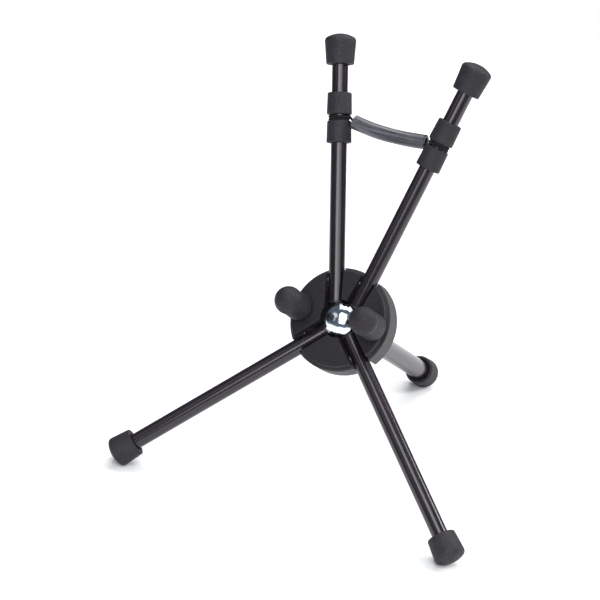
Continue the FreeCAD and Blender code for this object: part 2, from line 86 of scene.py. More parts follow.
SLEEVE_LENGTH = 16.4 * MM
SLEEVE_TOP_RADIUS = 9.0 * MM
SLEEVE_BOTTOM_RADIUS = 9.35 * MM
SLEEVE_CHAMFER = 1.0 * MM
LOOP_AT = {"left": 149.6 * MM, "right": 146.8 * MM}
LOOP_GAP = 4.6 * MM
CORD_RADIUS = 1.1 * MM
LOOP_TURNS = 2
LOOP_TURN_SPACING = 2.1 * MM
STRANDS_EACH_WAY = 4        # the braid is only in the looks
BRAID_PITCH = 5.0 * MM
STRAND_SIZE = 0.42 * MM

HOSE_RADIUS = 5.4 * MM
HOSE_BORE = 3.0 * MM
HOSE_CLEAR = {"left": 12.0 * MM, "right": 10.2 * MM}    # arm axis to hose end; 11.6 mm in the CAD
HOSE_SAG = 2.5 * MM
HOSE_RIM = 0.45 * MM        # rounding of the cut ends, only in the looks
HOSE_STREAK_LENGTH = 60 * MM    # how much of the streak pattern runs over the hose's length

DOME_RADIUS = 12.4 * MM
DOME_RIM = -3.0 * MM
DOME_HEIGHT = 5.6 * MM
DOME_SHEET = 1.0 * MM
DOME_SKIRT_RADIUS = 8.52 * MM
DOME_SKIRT_BOTTOM = -10.5 * MM
DOME_INSIDE_TOP = -7.5 * MM     # half a millimetre above the CAD's boss

PEG_X = 30.2 * MM
PEG_TIP = 38.0 * MM
PEG_PAD_RADIUS = 10.5 * MM
PEG_PAD_BASE = 6.0 * MM
PEG_BALL_TURN = 20.0
PEG_BORE = 4.02 * MM
PEG_BORE_END = 28 * MM

AROUND = 128                # segments round a turned piece

TARGET_RIGHT = -27.8 * MM   # the camera aims this far from the middle of the hub's face
TARGET_UP = 13.4 * MM
CAMERA_AZIMUTH = 24.46
CAMERA_ELEVATION = 23.68
CAMERA_ROLL = 5.06
CAMERA_DISTANCE = 1.7165
CAMERA_LENS = 140.0

STUDIO_MIDDLE = (0, 0, 0.15)
ROOM = (0.1, 0.12, 0.14)    # cool dim walls, seen in the bright parts
FLOOR_RADIUS = 1.15


# ---- the frame's places ----

def sine(degrees):
    return math.sin(math.radians(degrees))


def cosine(degrees):
    return math.cos(math.radians(degrees))


def joint(name):
    return next(j for j in frame["joints"] if j["name"] == name)


HUB_TURN = Matrix.Rotation(math.radians(90 - FACE_TILT), 3, "X")


def member(name):
    """The dimensions of an arm or a leg with its place: a matrix whose Z runs along it."""
    kind, side = name.split("_")
    sizes = dict(ARM if kind == "arm" else LEG)
    azimuth = sizes["azimuth"] * SIDES[side]
    tilt = sizes["tilt"]
    along = HUB_TURN @ Vector((sine(azimuth) * cosine(tilt), cosine(azimuth) * cosine(tilt),
                               sine(tilt)))
    fold = Vector(joint(name + "_fold")["axis"]).normalized()
    base = Vector(joint(name + "_fold")["pos_m"]) - along * HINGE_AT
    sizes["name"] = name
    sizes["side"] = side
    sizes["along"] = along
    sizes["base"] = base
    sizes["matrix"] = axes_matrix(fold, along, base)
    sizes["offset"] = sizes["offset"] * SIDES[side]
    return sizes


def axes_matrix(x_axis, z_axis, origin):
    y_axis = z_axis.cross(x_axis)
    columns = Matrix((x_axis, y_axis, z_axis)).transposed().to_4x4()
    return Matrix.Translation(origin) @ columns


ARMS = {side: member("arm_" + side) for side in SIDES}
LEGS = {side: member("leg_" + side) for side in SIDES}
HUB_FACE = ARMS["right"]["base"] - HUB_TURN @ Vector((ARMS["right"]["offset"], 0, -AXIS_DEPTH))
HUB = Matrix.Translation(HUB_FACE) @ HUB_TURN.to_4x4()
REVERSED = Matrix.Rotation(math.radians(180), 4, "X")


# ---- mesh helpers ----

def finished(name, mesh, matrix, body, slot, *nodes, sharp=40.0):
    """Make the mesh an object that rides on a body, replaces nodes and has its slot's finish."""
    mesh.validate()
    mesh.polygons.foreach_set("use_smooth", [True] * len(mesh.polygons))
    mesh.set_sharp_from_angle(angle=math.radians(sharp))
    piece = bpy.data.objects.new(name, mesh)
    bpy.context.scene.collection.objects.link(piece)
    piece.matrix_world = matrix
    mesh.materials.append(MATERIALS[slot])
    if body:
        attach(piece, body)
    if nodes:
        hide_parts(*nodes)
    return piece


def arc(centre, radius, start, stop, steps):
    """Outline points on an arc; angles count from the outline's outward direction."""
    return [(centre[0] + radius * cosine(start + (stop - start) * i / steps),
             centre[1] + radius * sine(start + (stop - start) * i / steps))
            for i in range(steps + 1)]


def spaced(points, longest):
    """Add points so that no straight stretch of an outline is longer than this."""
    result = [points[0]]
    for here, there in zip(points, points[1:]):
        pieces = max(1, math.ceil(math.dist(here, there) / longest))
        result += [(here[0] + (there[0] - here[0]) * i / pieces,
                    here[1] + (there[1] - here[1]) * i / pieces) for i in range(1, pieces + 1)]
    return result


def lathe(name, outline, around=AROUND, closed=False, wobble=None):
    """Turn an outline of (radius, height) about Z.  A radius of 0 becomes a pole.

    wobble(angle, height) gives a small change of radius.
    """
    vertices, faces, rings = [], [], []
    for radius, height in outline:
        if radius < 1e-9:
            rings.append([len(vertices)])
            vertices.append((0, 0, height))
            continue
        start = len(vertices)
        for i in range(around):
            angle = 2 * math.pi * i / around
            r = radius + (wobble(angle, height) if wobble else 0)
            vertices.append((r * math.cos(angle), r * math.sin(angle), height))
        rings.append(list(range(start, start + around)))
    pairs = list(zip(rings, rings[1:]))
    if closed:
        pairs.append((rings[-1], rings[0]))
    for a, b in pairs:
        for i in range(around):
            j = (i + 1) % around
            if len(a) == 1:
                faces.append((a[0], b[j], b[i]))
            elif len(b) == 1:
                faces.append((a[i], a[j], b[0]))
            else:
                faces.append((a[i], a[j], b[j], b[i]))
    mesh = bpy.data.meshes.new(name)
    mesh.from_pydata(vertices, [], faces)
    outward(mesh)
    return mesh


def outward(mesh):
    """Point every face of a closed mesh outwards."""
    bm = bmesh.new()
    bm.from_mesh(mesh)
    bmesh.ops.recalc_face_normals(bm, faces=bm.faces)
    bm.to_mesh(mesh)
    bm.free()


def cut_through(piece, tool_mesh, tool_matrix):
    """Cut a tool's shape out of a piece, for good."""
    tool = bpy.data.objects.new("tool", tool_mesh)
    bpy.context.scene.collection.objects.link(tool)
    tool.matrix_world = tool_matrix
    modifier = piece.modifiers.new("cut", "BOOLEAN")
    modifier.operation = "DIFFERENCE"
    modifier.solver = "EXACT"
    modifier.object = tool
    bpy.context.view_layer.update()
    evaluated = piece.evaluated_get(bpy.context.evaluated_depsgraph_get())
    mesh = bpy.data.meshes.new_from_object(evaluated)
    piece.modifiers.clear()
    piece.data = mesh
    bpy.data.objects.remove(tool)


def swept(name, points, ring):
    """Carry a ring of (side, up) offsets along points, with as little twist as possible."""
    frames = path_frames(points)
    vertices, faces = [], []
    count = len(points)
    size = len(ring)
    for point, (side, up) in zip(points, frames):
        vertices += [tuple(point + side * a + up * b) for a, b in ring]
    for i in range(count - 1):
        for j in range(size):
            k = (j + 1) % size
            faces.append((i * size + j, i * size + k, (i + 1) * size + k, (i + 1) * size + j))
    faces.append(tuple(reversed(range(size))))
    faces.append(tuple(range((count - 1) * size, count * size)))
    mesh = bpy.data.meshes.new(name)
    mesh.from_pydata(vertices, [], faces)
    return mesh


def path_frames(points):
    """Side and up directions at each point of a path, turned as little as possible."""
    tangents = []
    for i in range(len(points)):
        ahead = points[min(i + 1, len(points) - 1)]
        back = points[max(i - 1, 0)]
        tangents.append((ahead - back).normalized())
    side = tangents[0].orthogonal().normalized()
    frames = []
    for tangent in tangents:
        side = (side - tangent * side.dot(tangent)).normalized()
        frames.append((side, tangent.cross(side)))
    return frames


def joined(name, meshes):
    """One mesh out of several."""
    bm = bmesh.new()
    for mesh in meshes:
        bm.from_mesh(mesh)
    result = bpy.data.meshes.new(name)
    bm.to_mesh(result)
    bm.free()
    return result


# ---- material helpers ----

def new_material(name):
    material = bpy.data.materials.new(name)
    material.use_nodes = True
    tree = material.node_tree
    shader = tree.nodes["Principled BSDF"]
    coordinates = tree.nodes.new("ShaderNodeTexCoord").outputs["Object"]
    return material, tree, shader, coordinates


def stretched(tree, coordinates, scale):
    mapping = tree.nodes.new("ShaderNodeMapping")
    mapping.inputs["Scale"].default_value = scale
    tree.links.new(coordinates, mapping.inputs["Vector"])
    return mapping.outputs["Vector"]


def noise(tree, coordinates, scale, detail=4.0, roughness=0.55):
    node = tree.nodes.new("ShaderNodeTexNoise")
    node.inputs["Scale"].default_value = scale
    node.inputs["Detail"].default_value = detail
    node.inputs["Roughness"].default_value = roughness
    tree.links.new(coordinates, node.inputs["Vector"])
    return node.outputs["Fac"]


def voronoi(tree, coordinates, scale):
    node = tree.nodes.new("ShaderNodeTexVoronoi")
    node.inputs["Scale"].default_value = scale
    tree.links.new(coordinates, node.inputs["Vector"])
    return node.outputs["Distance"]


def spread(tree, value, low_in, high_in, low_out, high_out):
    """Map a value from one range to another."""
    node = tree.nodes.new("ShaderNodeMapRange")
    node.inputs["From Min"].default_value = low_in
    node.inputs["From Max"].default_value = high_in
    node.inputs["To Min"].default_value = low_out
    node.inputs["To Max"].default_value = high_out
    tree.links.new(value, node.inputs["Value"])
    return node.outputs["Result"]


def between(tree, factor, first, second):
    """Blend two colours, each a value or a socket."""
    node = tree.nodes.new("ShaderNodeMix")
    node.data_type = "RGBA"
    tree.links.new(factor, node.inputs["Factor"])
    for socket, colour in ((node.inputs["A"], first), (node.inputs["B"], second)):
        if isinstance(colour, bpy.types.NodeSocket):
            tree.links.new(colour, socket)
        else:
            socket.default_value = (*colour, 1)
    return node.outputs["Result"]


def bumps(tree, shader, *layers):
    """Chain bump layers, each a height socket with its depth in metres."""
    normal = None
    for height, depth in layers:
        node = tree.nodes.new("ShaderNodeBump")
        node.inputs["Distance"].default_value = depth
        tree.links.new(height, node.inputs["Height"])
        if normal:
            tree.links.new(normal, node.inputs["Normal"])
        normal = node.outputs["Normal"]
    tree.links.new(normal, shader.inputs["Normal"])


def distance_from_hub_axis(tree, coordinates):
    """How far a point of the hub is from the hub's axis, from its own coordinates."""
    place = tree.nodes.new("ShaderNodeVectorMath")
    place.operation = "SUBTRACT"
    place.inputs[1].default_value = HUB_FACE
    tree.links.new(coordinates, place.inputs[0])
    across = tree.nodes.new("ShaderNodeVectorMath")
    across.operation = "CROSS_PRODUCT"
    across.inputs[1].default_value = HUB_TURN @ Vector((0, 0, 1))
    tree.links.new(place.outputs["Vector"], across.inputs[0])
    length = tree.nodes.new("ShaderNodeVectorMath")
    length.operation = "LENGTH"
    tree.links.new(across.outputs["Vector"], length.inputs[0])
    return length.outputs["Value"]


# ---- materials ----

def rubber(name, dark, light, grain=0.00006, gloss=(0.55, 0.7)):
    """Moulded rubber: cloudy tone, a mottled skin, fine grain and faint rubbed patches."""
    material, tree, shader, place = new_material(name)
    clouds = noise(tree, place, 170, 5, 0.6)
    mottle = noise(tree, place, 640, 3, 0.6)
    specks = noise(tree, place, 2600, 3, 0.7)
    tone = between(tree, spread(tree, clouds, 0.3, 0.7, 0, 1), dark, light)
    tone = between(tree, spread(tree, mottle, 0.35, 0.65, 0, 0.55), tone,
                   tuple(c * 0.45 for c in dark))
    dusty = tuple(c * 1.8 for c in light)
    tone = between(tree, spread(tree, specks, 0.6, 0.8, 0, 0.6), tone, dusty)
    tree.links.new(tone, shader.inputs["Base Color"])
    tree.links.new(spread(tree, mottle, 0.3, 0.7, *gloss), shader.inputs["Roughness"])
    shader.inputs["Specular IOR Level"].default_value = 0.34
    bumps(tree, shader, (mottle, 0.00028), (specks, grain))
    return material


def spark_textured_plastic(name, dark, light, painted_light_from, painted_rim_light, grain, roughness=(0.5, 0.62)):
    """Moulded plastic with an eroded leathery grain, painted paler beyond a radius from the hub's axis: painted
    light on the hub's side wall and a painted highlight along the covers' rounded rim.
    """
    material, tree, shader, place = new_material(name)
    clouds = noise(tree, place, 60, 4)
    leather = voronoi(tree, place, 620)
    pits = voronoi(tree, place, 1500)
    fine = noise(tree, place, 3800, 2, 0.6)
    tone = between(tree, spread(tree, clouds, 0.3, 0.7, 0, 1), dark, light)
    # painted light: paler beyond this radius from the hub's axis, standing in for light on the hub's side wall and
    # a highlight along the covers' rounded rim
    rim = spread(tree, distance_from_hub_axis(tree, place), painted_light_from, painted_light_from + 0.6 * MM, 0, 1)
    tone = between(tree, rim, tone, painted_rim_light)
    tone = between(tree, spread(tree, leather, 0.3, 0.7, 0, 0.55), tone,
                   tuple(c * 1.9 for c in light))
    tree.links.new(tone, shader.inputs["Base Color"])
    tree.links.new(spread(tree, fine, 0.3, 0.7, *roughness), shader.inputs["Roughness"])
    shader.inputs["Specular IOR Level"].default_value = 0.34
    bumps(tree, shader, (leather, grain * 2.5), (pits, grain), (fine, grain / 2))
    return material


def anodised(name, colour, shine):
    """Black anodised tube: drawing lines along it, a few lengthwise scuffs, satin gloss."""
    material, tree, shader, place = new_material(name)
    lines = noise(tree, stretched(tree, place, (1, 1, 0.012)), 5200, 3, 0.6)
    streaks = noise(tree, stretched(tree, place, (1, 1, 0.05)), 380, 4, 0.6)
    clouds = noise(tree, place, 45, 3)
    warm = tuple(c * k for c, k in zip(colour, (1.6, 1.4, 1.55)))
    tone = between(tree, spread(tree, clouds, 0.35, 0.65, 0, 1), colour, warm)
    scuffed = tuple(c * 4 + 0.01 for c in colour)
    tone = between(tree, spread(tree, streaks, 0.68, 0.82, 0, 0.5), tone, scuffed)
    tree.links.new(tone, shader.inputs["Base Color"])
    tree.links.new(spread(tree, streaks, 0.3, 0.75, *shine), shader.inputs["Roughness"])
    shader.inputs["IOR"].default_value = 1.56
    bumps(tree, shader, (lines, 0.000012), (streaks, 0.00001))
    return material


def bright_plating(name):
    """Polished plating on pressed sheet: waves, small dents, fine swirls and a few dull spots."""
    material, tree, shader, place = new_material(name)
    waves = noise(tree, place, 110, 2, 0.4)
    dents = noise(tree, place, 560, 3, 0.55)
    swirls = noise(tree, stretched(tree, place, (1, 0.25, 1)), 3000, 3, 0.6)
    spots = noise(tree, place, 420, 4, 0.6)
    tone = between(tree, spread(tree, spots, 0.45, 0.75, 0, 1), (0.82, 0.89, 0.96),
                   (0.58, 0.66, 0.76))
    tree.links.new(tone, shader.inputs["Base Color"])
    tree.links.new(spread(tree, spots, 0.4, 0.75, 0.04, 0.2), shader.inputs["Roughness"])
    shader.inputs["Metallic"].default_value = 1.0
    bumps(tree, shader, (waves, 0.0003), (dents, 0.00007), (swirls, 0.000003))
    return material


def zinc_steel(name):
    """Zinc-plated steel with a brushed grain and slightly yellow, dull patches."""
    material, tree, shader, place = new_material(name)
    grain = noise(tree, stretched(tree, place, (1, 0.1, 1)), 4500, 3, 0.6)
    patches = noise(tree, place, 500, 4)
    tone = between(tree, spread(tree, patches, 0.35, 0.7, 0, 1), (0.68, 0.69, 0.7),
                   (0.5, 0.49, 0.46))
    tree.links.new(tone, shader.inputs["Base Color"])
    tree.links.new(spread(tree, patches, 0.3, 0.7, 0.2, 0.38), shader.inputs["Roughness"])
    shader.inputs["Metallic"].default_value = 1.0
    bumps(tree, shader, (grain, 0.00001))
    return material


def turned_brass(name):
    """Machined brass with fine tool rings."""
    material, tree, shader, place = new_material(name)
    rings = noise(tree, place, 3500, 2)
    tint = noise(tree, place, 300, 3)
    tone = between(tree, spread(tree, tint, 0.35, 0.7, 0, 1), (0.72, 0.56, 0.27),
                   (0.55, 0.4, 0.18))
    tree.links.new(tone, shader.inputs["Base Color"])
    tree.links.new(spread(tree, rings, 0.3, 0.7, 0.22, 0.34), shader.inputs["Roughness"])
    shader.inputs["Metallic"].default_value = 1.0
    bumps(tree, shader, (rings, 0.000008))
    return material


def extruded_rubber(name):
    """Hose rubber: pale and dark streaks that run along it, with darker clouds."""
    material, tree, shader, _ = new_material(name)
    node = tree.nodes.new("ShaderNodeAttribute")
    node.attribute_name = "along"
    place = node.outputs["Vector"]
    streaks = noise(tree, stretched(tree, place, (1, 1, 0.045)), 430, 5, 0.65)
    clouds = noise(tree, stretched(tree, place, (1, 1, 0.4)), 150, 4, 0.6)
    specks = noise(tree, place, 3200, 3, 0.7)
    tone = between(tree, spread(tree, streaks, 0.4, 0.62, 0, 1), (0.008, 0.008, 0.013),
                   (0.13, 0.13, 0.155))
    tone = between(tree, spread(tree, clouds, 0.45, 0.7, 0, 0.7), tone, (0.03, 0.03, 0.045))
    tree.links.new(tone, shader.inputs["Base Color"])
    tree.links.new(spread(tree, streaks, 0.3, 0.7, 0.44, 0.28), shader.inputs["Roughness"])
    shader.inputs["Specular IOR Level"].default_value = 0.6
    bumps(tree, shader, (streaks, 0.0002), (specks, 0.00003))
    return material


def braid_fibre(name):
    """Black polyester yarn of the braided elastic."""
    material, tree, shader, place = new_material(name)
    fibres = noise(tree, place, 6000, 3, 0.7)
    tone = between(tree, spread(tree, fibres, 0.3, 0.7, 0, 1), (0.002, 0.002, 0.003),
                   (0.01, 0.0095, 0.012))
    tree.links.new(tone, shader.inputs["Base Color"])
    shader.inputs["Roughness"].default_value = 0.5
    shader.inputs["Specular IOR Level"].default_value = 0.3
    shader.inputs["Sheen Weight"].default_value = 0.03
    shader.inputs["Sheen Roughness"].default_value = 0.4
    bumps(tree, shader, (fibres, 0.00005))
    return material


def nylon(name):
    """Plain moulded nylon for the plugs inside the tubes."""
    material, tree, shader, place = new_material(name)
    clouds = noise(tree, place, 300, 4)
    tone = between(tree, spread(tree, clouds, 0.3, 0.7, 0, 1), (0.012, 0.012, 0.012),
                   (0.03, 0.03, 0.032))
    tree.links.new(tone, shader.inputs["Base Color"])
    tree.links.new(spread(tree, clouds, 0.3, 0.7, 0.4, 0.55), shader.inputs["Roughness"])
    bumps(tree, shader, (clouds, 0.00003))
    return material


def studio_floor(name):
    """Plain pale paper."""
    material, tree, shader, place = new_material(name)
    paper = noise(tree, place, 700, 4)
    tone = between(tree, paper, (0.93, 0.93, 0.93), (0.97, 0.97, 0.97))
    tree.links.new(tone, shader.inputs["Base Color"])
    shader.inputs["Roughness"].default_value = 0.9
    shader.inputs["Specular IOR Level"].default_value = 0.1
    return material


MATERIALS = {
    # the colour after each rim radius is painted rim light: light on the hub's side wall and a highlight along the
    # covers' rounded edge
    "hub_plastic": spark_textured_plastic("hub_plastic", (0.014, 0.0125, 0.015),
                                          (0.021, 0.019, 0.022), 38.2 * MM,
                                          (0.045, 0.0415, 0.047), 0.00005),
    "cover_plastic": spark_textured_plastic("cover_plastic", (0.0042, 0.0037, 0.0052),
                                            (0.007, 0.0062, 0.0082), 35.6 * MM,
                                            (0.03, 0.028, 0.032), 0.00006, (0.62, 0.74)),
    "steel": zinc_steel("steel"),
    "dome_chrome": bright_plating("dome_chrome"),
    "peg_rubber": rubber("peg_rubber", (0.015, 0.0124, 0.0158), (0.0225, 0.019, 0.0235)),
    "cap_rubber": rubber("cap_rubber", (0.016, 0.0137, 0.0175), (0.0265, 0.023, 0.0285)),
    "tube_anodised": anodised("tube_anodised", (0.0105, 0.0072, 0.0108), (0.17, 0.24)),
    "plug_plastic": nylon("plug_plastic"),
    "plug_metal": turned_brass("plug_metal"),
    "hose_rubber": extruded_rubber("hose_rubber"),
    "elastic_cord": braid_fibre("elastic_cord"),
}


def finish_cad_nodes():
    """Give every CAD node its procedural material."""
    for entry in frame["record"]["subparts"]:
        node = frame["nodes"][entry["node"]]
        node.data.materials.clear()
        node.data.materials.append(MATERIALS[entry["material_slot"]])


# ---- tubes ----

def pipe_outline(radius, wall, start, stop):
    """A tube with both rims broken by small chamfers."""
    chamfer = 0.25 * MM
    inner = radius - wall
    outline = [(inner, start + chamfer), (inner + chamfer, start), (radius - chamfer, start),
               (radius, start + chamfer), (radius, stop - chamfer), (radius - chamfer, stop),
               (inner + chamfer, stop), (inner, stop - chamfer), (inner, start + chamfer)]
    return spaced(outline, 12 * MM)[:-1]


def hinged_tube(place):
    name = place["name"]
    stop = place["end"] - CAP_WALL_AT_END - FIT
    mesh = lathe(name, pipe_outline(TUBE_RADIUS, TUBE_WALL, place["stub"], stop), closed=True)
    piece = finished(name + "_pipe", mesh, place["matrix"], None, "tube_anodised")
    half = TUBE_RADIUS + MM
    drill = lathe("drill", [(0, -half), (PIN_RADIUS, -half), (PIN_RADIUS, half), (0, half)], 64)
    across = place["matrix"] @ Matrix.Translation((0, 0, HINGE_AT)) @ Matrix.Rotation(
        math.radians(90), 4, "Y")
    cut_through(piece, drill, across)
    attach(piece, name)
    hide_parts(name + "_tube")


def rear_leg():
    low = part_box("rear_leg_tube")[0]
    back = HUB_TURN @ Vector((0, 0, -1))
    stop = (low.z - HUB_FACE.z + REAR_TUBE_RADIUS * cosine(FACE_TILT)) / back.z
    mesh = lathe("rear_leg", pipe_outline(REAR_TUBE_RADIUS, REAR_TUBE_WALL, -SOCKET_FLOOR, stop),
                 closed=True)
    finished("rear_leg_pipe", mesh, HUB @ REVERSED, "hub", "tube_anodised", "rear_leg_tube")
    return stop


# ---- rubber caps, feet, sleeves and pegs ----

def cap_outline(bore, mouth, end, mouth_radius, radius):
    """The CAD cap's outline, with an open bore, a lip, a rounded corner and a crown."""
    rim_radius = radius - CAP_CORNER * (1 - cosine(CAP_CORNER_TURN))
    slope = 90 - CAP_CORNER_TURN
    sphere = rim_radius / sine(slope)
    crown = sphere * (1 - cosine(slope))
    shoulder = end - crown - CAP_CORNER * sine(CAP_CORNER_TURN)
    cavity = end - CAP_WALL_AT_END
    lip = arc((mouth_radius - CAP_LIP, mouth + CAP_LIP), CAP_LIP, -90, 0, 8)
    corner = arc((radius - CAP_CORNER, shoulder), CAP_CORNER, 0, CAP_CORNER_TURN, 12)
    top = [(sphere * sine(slope * (1 - i / 16)), end - sphere * (1 - cosine(slope * (1 - i / 16))))
           for i in range(1, 17)]
    top[-1] = (0, end)
    mouth_edge = arc((bore + CAP_RECESS, mouth + 0.35 * MM), 0.35 * MM, 225, 270, 3)
    inside = [(0, cavity), (bore, cavity), (bore, mouth + CAP_RECESS)]
    return spaced(inside, 6 * MM) + mouth_edge + lip + spaced(
        [lip[-1], corner[0]], 2 * MM)[1:] + corner[1:] + top


def push_on_cap(name, place, bore, matrix, body, node):
    mesh = lathe(name, cap_outline(bore, place["mouth"], place["end"], place["mouth_radius"],
                                   place["radius"]))
    piece = finished(name, mesh, matrix, None, "cap_rubber")
    press_on_floor(piece)
    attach(piece, body)
    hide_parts(node)


def press_on_floor(piece):
    """Flatten what would reach below the floor."""
    into = piece.matrix_world.inverted()
    for vertex in piece.data.vertices:
        spot = piece.matrix_world @ vertex.co
        if spot.z < 0:
            spot.z = 0
            vertex.co = into @ spot


def caps_and_feet():
    for side in SIDES:
        push_on_cap("arm_%s_end_cap" % side, ARMS[side], TUBE_RADIUS + FIT,
                    ARMS[side]["matrix"], "arm_" + side, "arm_%s_cap" % side)
        push_on_cap("leg_%s_rubber_foot" % side, LEGS[side], TUBE_RADIUS + FIT,
                    LEGS[side]["matrix"], "leg_" + side, "leg_%s_foot" % side)
    end = rear_leg() + CAP_WALL_AT_END + FIT
    place = dict(REAR_FOOT, mouth=end - REAR_FOOT["length"], end=end)
    push_on_cap("rear_rubber_foot", place, REAR_TUBE_RADIUS + FIT, HUB @ REVERSED, "hub",
                "rear_foot")


def sleeve(side, which, low):
    """A short rubber sleeve, slightly tapered, with rounded edges."""
    high = low + SLEEVE_LENGTH
    bore = TUBE_RADIUS + FIT
    bottom, top = SLEEVE_BOTTOM_RADIUS, SLEEVE_TOP_RADIUS
    c = SLEEVE_CHAMFER
    outline = [(bore, low), (bottom - c, low)]
    outline += arc((bottom - c, low + c), c, -80, 0, 8)
    outline += spaced([outline[-1], (top, high - c)], 1.5 * MM)[1:-1]
    outline += arc((top - c, high - c), c, 0, 90, 8)
    outline += [(bore, high)]
    outline = outline + spaced([outline[-1], outline[0]], 4 * MM)[1:-1]
    mesh = lathe("sleeve", outline, closed=True)
    finished("arm_%s_%s_grip" % (side, which), mesh, ARMS[side]["matrix"], "arm_" + side,
             "cap_rubber", "arm_%s_%s_sleeve" % (side, which))


def sleeves():
    for side in SIDES:
        sleeve(side, "upper", LOOP_AT[side] + LOOP_GAP / 2)
        sleeve(side, "lower", LOOP_AT[side] - LOOP_GAP / 2 - SLEEVE_LENGTH)


def peg_pads():
    """Rubber caps: a ball on a skirt that widens towards the hub."""
    ball = PEG_TIP - PEG_PAD_RADIUS
    lip = arc((PEG_PAD_RADIUS - CAP_LIP, PEG_PAD_BASE + CAP_LIP), CAP_LIP, -90, 0, 8)
    front = arc((0, ball), PEG_PAD_RADIUS, -PEG_BALL_TURN, 90, 48)
    front[-1] = (0, PEG_TIP)
    outline = spaced([(0, PEG_BORE_END), (PEG_BORE, PEG_BORE_END), (PEG_BORE, PEG_PAD_BASE)],
                     5 * MM)
    outline += lip + spaced([lip[-1], front[0]], 2 * MM)[1:-1] + front
    for side, sign in SIDES.items():
        matrix = HUB @ Matrix.Translation((sign * PEG_X, 0, 0))
        finished("peg_%s_rubber" % side, lathe("peg", outline), matrix, "hub", "peg_rubber",
                 "peg_pad_" + side, sharp=60.0)


# ---- dome ----

def dome():
    """Pressed dome with a skirt under it that goes over the hub's boss."""
    sphere = (DOME_RADIUS ** 2 + DOME_HEIGHT ** 2) / (2 * DOME_HEIGHT)
    edge = math.degrees(math.asin(DOME_RADIUS / sphere))
    crown = DOME_RIM + DOME_HEIGHT
    steps = 40
    outer = [(sphere * sine(edge * i / steps), crown - sphere * (1 - cosine(edge * i / steps)))
             for i in range(steps + 1)]
    outer[0] = (0, crown)
    skirt = DOME_SKIRT_RADIUS
    outline = outer + [(DOME_RADIUS - DOME_SHEET, DOME_RIM),
                       (DOME_RADIUS - DOME_SHEET, DOME_RIM + DOME_SHEET / 2),
                       (skirt + DOME_SHEET, DOME_RIM + DOME_SHEET / 2),
                       (skirt + DOME_SHEET, DOME_SKIRT_BOTTOM), (skirt, DOME_SKIRT_BOTTOM),
                       (skirt, DOME_INSIDE_TOP), (0, DOME_INSIDE_TOP)]
    finished("hub_dome", lathe("dome", outline, 160), HUB, "hub", "dome_chrome", "dome_cap")


# ---- braided elastic cord ----

def braid(name, points):
    """Strands that wind both ways round a path and pass over and under each other."""
    frames = path_frames(points)
    travelled = [0.0]
    for here, there in zip(points, points[1:]):
        travelled.append(travelled[-1] + (there - here).length)
    middle = CORD_RADIUS - STRAND_SIZE * 0.75
    meshes = []
    for way in (-1, 1):
        for strand in range(STRANDS_EACH_WAY):
            phase = 2 * math.pi * strand / STRANDS_EACH_WAY
            route = []
            for point, (side, up), length in zip(points, frames, travelled):
                turn = way * 2 * math.pi * length / BRAID_PITCH + phase
                over = math.cos(STRANDS_EACH_WAY * turn) * way
                reach = middle + over * STRAND_SIZE * 0.2
                route.append(point + (side * math.cos(turn) + up * math.sin(turn)) * reach)
            meshes.append(swept("strand", route, circle(STRAND_SIZE / 2, 8)))
    core = swept("core", points, circle(CORD_RADIUS - STRAND_SIZE * 1.1, 12))
    return joined(name, meshes + [core])


def circle(radius, count):
    return [(radius * math.cos(2 * math.pi * k / count), radius * math.sin(2 * math.pi * k / count))
            for k in range(count)]


def wound_points(place, at, turns, start_angle):
    """Points of a cord wound round a tube, from above its middle to below."""
    radius = TUBE_RADIUS + CORD_RADIUS + 0.05 * MM
    steps = int(150 * turns)
    points = []
    for i in range(steps + 1):
        angle = start_angle + 2 * math.pi * turns * i / steps
        height = at + LOOP_TURN_SPACING * (turns / 2 - turns * i / steps) * 0.98
        points.append(place["matrix"] @ Vector((radius * math.cos(angle),
                                                radius * math.sin(angle), height)))
    return points


# ---- hose ----

def loop_centre(side):
    return ARMS[side]["base"] + ARMS[side]["along"] * LOOP_AT[side]


def hose_points(count):
    """The hose's axis: a smooth sagging line between the two loops."""
    left, right = loop_centre("left"), loop_centre("right")
    across = (right - left).normalized()
    start, stop = left + across * HOSE_CLEAR["left"], right - across * HOSE_CLEAR["right"]
    lowest = (left + right) / 2 - Vector((0, 0, HOSE_SAG))
    control = lowest * 2 - (start + stop) / 2
    return [start * (1 - t) ** 2 + control * 2 * t * (1 - t) + stop * t ** 2
            for t in (i / (count - 1) for i in range(count))]


def hose_section(points, radius, bulge):
    """Rings along the hose; bulge(angle, share) changes the radius a little."""
    rings = []
    count = 72
    for i, (point, (side, up)) in enumerate(zip(points, path_frames(points))):
        share = i / (len(points) - 1)
        ring = []
        for k in range(count):
            angle = 2 * math.pi * k / count
            reach = radius + bulge(angle, share)
            ring.append(point + (side * math.cos(angle) + up * math.sin(angle)) * reach)
        rings.append(ring)
    return rings


def hose():
    """One rubber tube over both CAD halves, with rounded cut ends and an open bore."""
    points = hose_points(161)

    def outside(angle, share):
        waves = 0.06 * math.sin(3 * angle + 9 * share) + 0.05 * math.sin(2 * angle - 14 * share)
        return waves * MM

    outer = hose_section(points, HOSE_RADIUS, outside)
    inner = hose_section(points, HOSE_BORE, lambda angle, share: 0)
    for ring, centre in ((outer[0], points[0]), (outer[-1], points[-1])):
        for k, corner in enumerate(ring):
            ring[k] = centre + (corner - centre) * (1 - HOSE_RIM / HOSE_RADIUS)
    rings = outer + list(reversed(inner))
    count = len(rings[0])
    vertices = [tuple(v) for ring in rings for v in ring]
    faces = []
    for i in range(len(rings)):
        j = (i + 1) % len(rings)
        faces += [(i * count + k, i * count + (k + 1) % count, j * count + (k + 1) % count,
                   j * count + k) for k in range(count)]
    mesh = bpy.data.meshes.new("hose")
    mesh.from_pydata(vertices, [], faces)
    outward(mesh)
    write_hose_coordinates(mesh, len(outer), count)
    piece = finished("rubber_hose", mesh, Matrix.Identity(4), None, "hose_rubber",
                     "hose_left", "hose_right")
    bend_with_hinge(piece)


